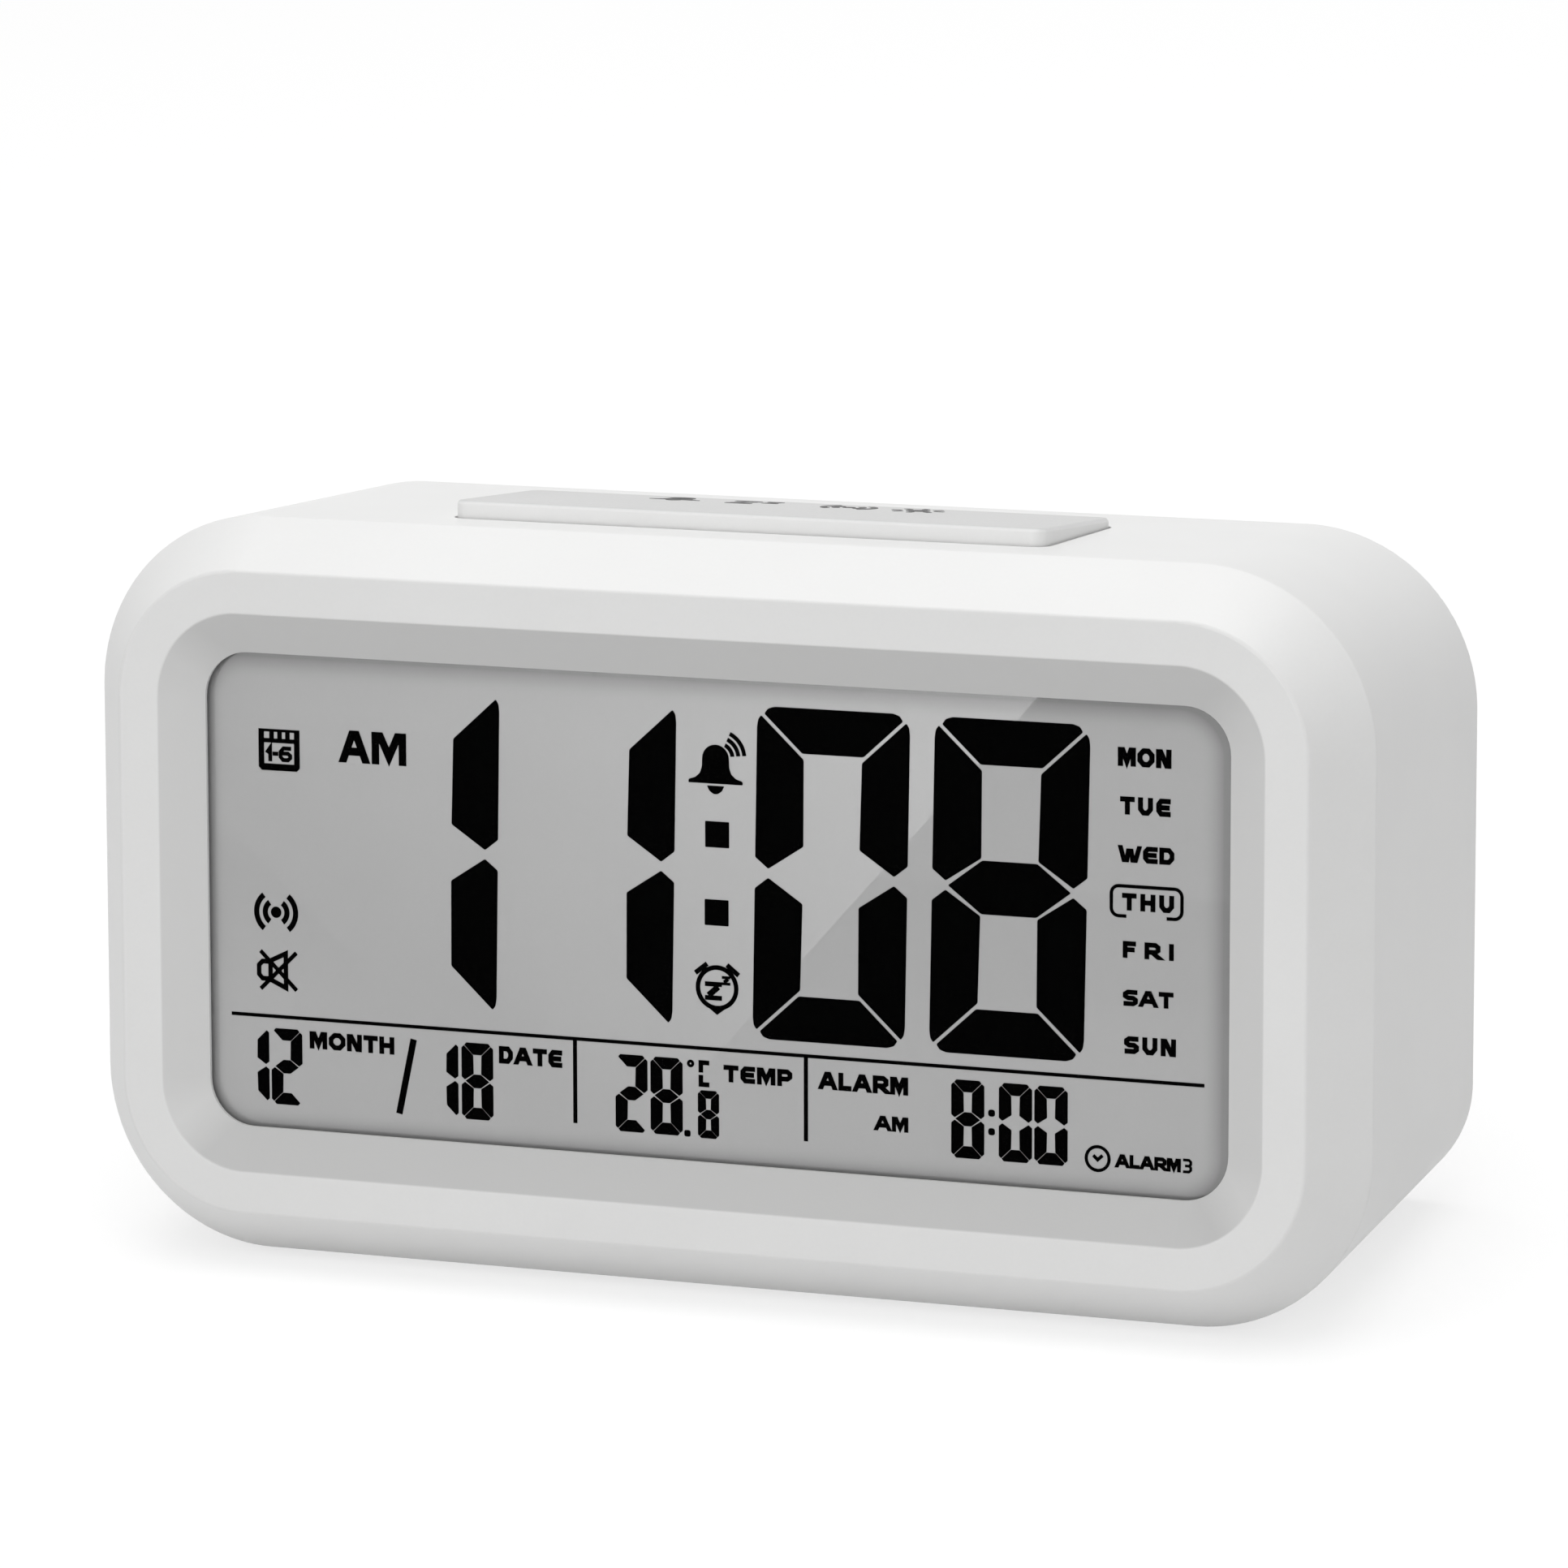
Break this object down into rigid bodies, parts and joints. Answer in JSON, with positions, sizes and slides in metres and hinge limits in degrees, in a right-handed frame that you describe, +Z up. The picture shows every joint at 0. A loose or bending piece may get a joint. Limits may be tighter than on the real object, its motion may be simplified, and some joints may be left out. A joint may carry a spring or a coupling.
{
  "type": "talking clock",
  "caption": "Leaning desk clock with a wide grey liquid-crystal display in a white chamfered frame, a long press bar on top that speaks the time, setting keys, speaker and cell door behind.",
  "frame": {"origin": "middle of the part's box in plan, at the table that its feet rest on", "axes": "+Z up, X across the face with +X to the right of someone who reads it, +Y towards the back; the face looks towards -Y and leans back"},
  "size_m": [0.135, 0.0558, 0.0751],
  "materials": {
    "case_white": "fine satin",
    "bar_white": "fine satin",
    "key_white": "satin",
    "door_white": "fine satin",
    "lens_clear": "clear, polished",
    "tape_grey": "matt",
    "display_glass": "polished, grey polariser",
    "guide_clear": "clear, polished",
    "reflector_white": "matt white",
    "lamp_white": "gloss",
    "frame_black": "matt",
    "strip_rubber": "matt",
    "board_green": "satin lacquer",
    "resin_black": "semi-gloss",
    "crystal_can": "bright",
    "capacitor_can": "sleeved",
    "thermistor_bead": "gloss",
    "switch_black": "satin",
    "plunger_grey": "satin",
    "basket_steel": "plated",
    "magnet_black": "matt",
    "cone_paper": "matt",
    "screw_steel": "plated",
    "cell_sleeve": "printed sleeve, bare of print",
    "contact_steel": "bright plated",
    "lead_red": "satin",
    "lead_black": "satin",
    "ribbon_grey": "satin",
    "foot_rubber": "matt"
  },
  "bodies": {
    "clock": {"front_case": "case_white", "rear_housing": "case_white", "display_lens": "lens_clear", "lens_tape": "tape_grey", "lcd_front_glass": "display_glass", "lcd_rear_glass": "display_glass", "light_guide": "guide_clear", "reflector_sheet": "reflector_white", "backlight_lamps": "lamp_white", "display_frame": "frame_black", "contact_strip": "strip_rubber", "main_board": "board_green", "bar_board": "board_green", "key_board": "board_green", "clock_chip": "resin_black", "voice_chip": "resin_black", "amplifier_chip": "resin_black", "crystal": "crystal_can", "capacitors": "capacitor_can", "thermistor": "thermistor_bead", "bar_switches": "switch_black", "key_switches": "switch_black", "speaker_basket": "basket_steel", "speaker_magnet": "magnet_black", "speaker_cone": "cone_paper", "board_screws": "screw_steel", "bar_board_screws": "screw_steel", "key_board_screws": "screw_steel", "speaker_screws": "screw_steel", "case_screws": "screw_steel", "cell_lower": "cell_sleeve", "cell_middle": "cell_sleeve", "cell_upper": "cell_sleeve", "positive_contacts": "contact_steel", "negative_contacts": "contact_steel", "battery_lead_red": "lead_red", "battery_lead_black": "lead_black", "speaker_leads": "lead_black", "key_ribbon": "ribbon_grey", "bar_ribbon": "ribbon_grey", "foot_front_left": "foot_rubber", "foot_front_right": "foot_rubber", "foot_back_left": "foot_rubber", "foot_back_right": "foot_rubber"},
    "top_bar": {"top_bar": "bar_white", "bar_plungers": "plunger_grey"},
    "mode_key": {"mode_key": "key_white", "mode_key_plunger": "plunger_grey"},
    "set_key": {"set_key": "key_white", "set_key_plunger": "plunger_grey"},
    "up_key": {"up_key": "key_white", "up_key_plunger": "plunger_grey"},
    "down_key": {"down_key": "key_white", "down_key_plunger": "plunger_grey"},
    "alarm_key": {"alarm_key": "key_white", "alarm_key_plunger": "plunger_grey"},
    "voice_key": {"voice_key": "key_white", "voice_key_plunger": "plunger_grey"},
    "battery_door": {"battery_door": "door_white"}
  },
  "joints": [
    {"name": "bar_press", "type": "slide", "parent": "clock", "child": "top_bar", "axis": [0, -0.1736, -0.9848], "range_m": [0, 0.0008], "stiffness_N_per_m": 1500},
    {"name": "mode_key_press", "type": "slide", "parent": "clock", "child": "mode_key", "axis": [0, -0.9848, 0.1736], "range_m": [0, 0.0006], "stiffness_N_per_m": 400},
    {"name": "set_key_press", "type": "slide", "parent": "clock", "child": "set_key", "axis": [0, -0.9848, 0.1736], "range_m": [0, 0.0006], "stiffness_N_per_m": 400},
    {"name": "up_key_press", "type": "slide", "parent": "clock", "child": "up_key", "axis": [0, -0.9848, 0.1736], "range_m": [0, 0.0006], "stiffness_N_per_m": 400},
    {"name": "down_key_press", "type": "slide", "parent": "clock", "child": "down_key", "axis": [0, -0.9848, 0.1736], "range_m": [0, 0.0006], "stiffness_N_per_m": 400},
    {"name": "alarm_key_press", "type": "slide", "parent": "clock", "child": "alarm_key", "axis": [0, -0.9848, 0.1736], "range_m": [0, 0.0006], "stiffness_N_per_m": 400},
    {"name": "voice_key_press", "type": "slide", "parent": "clock", "child": "voice_key", "axis": [0, -0.9848, 0.1736], "range_m": [0, 0.0006], "stiffness_N_per_m": 400},
    {"name": "door_swing", "type": "hinge", "parent": "clock", "child": "battery_door", "pos_m": [-0.00596, 0.01815, 0.01096], "axis": [-1, 0, 0], "range_deg": [0, 80]}
  ]
}
